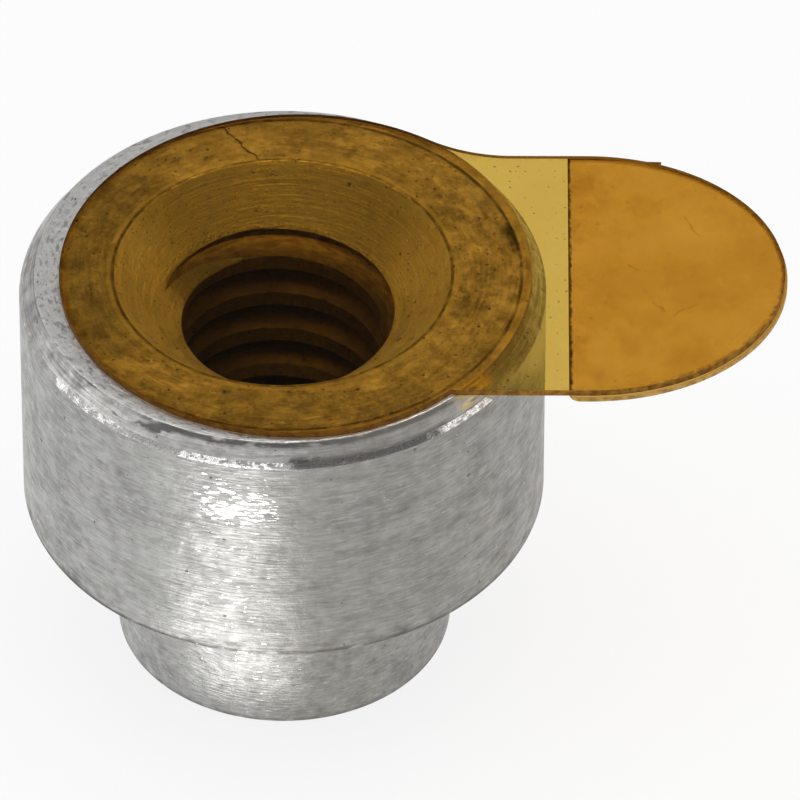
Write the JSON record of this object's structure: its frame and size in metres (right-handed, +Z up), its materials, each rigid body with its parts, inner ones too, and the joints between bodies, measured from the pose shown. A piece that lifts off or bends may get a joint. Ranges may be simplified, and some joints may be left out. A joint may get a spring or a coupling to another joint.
{
  "type": "surface-mount threaded spacer with pick-up film",
  "caption": "Turned, tin-plated spacer with a through thread, a countersunk mouth and a board spigot, its mouth closed by an amber pick-up film with a pull tab.",
  "frame": {"origin": "on the thread's axis, in the plane of the shoulder that seats on the circuit board", "axes": "+Z up along the thread's axis from the board to the flat top, +X towards the film's pull tab, +Y to the left of the tab as seen from above"},
  "size_m": [0.0064, 0.0044, 0.0039],
  "materials": {
    "tinned_steel": "dull mottled tin plating over fine turning lines",
    "polyimide_film": "clear amber film with a glossy face and dark cut edges",
    "polyimide_cover": "clear amber film, glued under the tab"
  },
  "bodies": {
    "root": {"spacer_body": "tinned_steel", "pick_up_film": "polyimide_film", "tab_cover": "polyimide_cover"}
  },
  "joints": []
}
